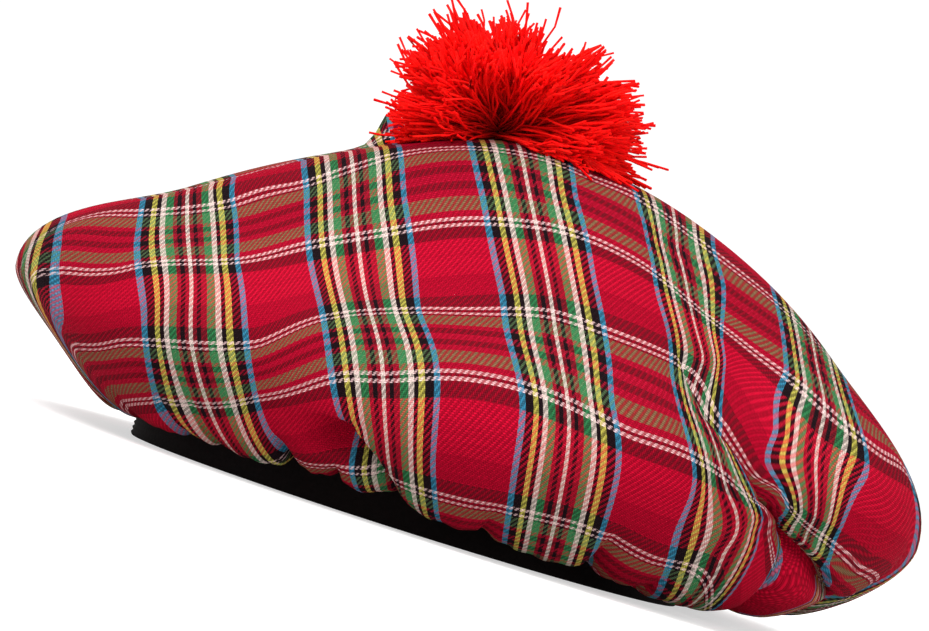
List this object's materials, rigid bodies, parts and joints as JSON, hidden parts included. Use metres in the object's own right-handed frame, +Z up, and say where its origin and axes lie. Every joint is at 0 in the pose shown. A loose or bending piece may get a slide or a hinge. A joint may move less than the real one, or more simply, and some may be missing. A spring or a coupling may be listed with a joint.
{
  "type": "tam o shanter",
  "caption": "Soft round tartan cap whose wide crown is gathered in puffs onto a narrow black elastic head band, with a red yarn pompom on top.",
  "frame": {"origin": "centre of the hat's box at the level of the band's lower edge, which is what the hat stands on", "axes": "+Z up out of the top of the crown, +X to the wearer's side that the picture shows on the right, +Y away from the picture's viewpoint"},
  "size_m": [0.28, 0.2536, 0.1582],
  "materials": {
    "tartan_cloth": "twill-woven check: strong red ground with green, black, white, yellow and blue lines",
    "black_elastic": "matt black woven elastic, ribbed along its length",
    "red_yarn": "saturated red two-ply yarn with cut ends"
  },
  "bodies": {
    "root": {"crown": "tartan_cloth", "head_band": "black_elastic", "pompom": "red_yarn"}
  },
  "joints": []
}
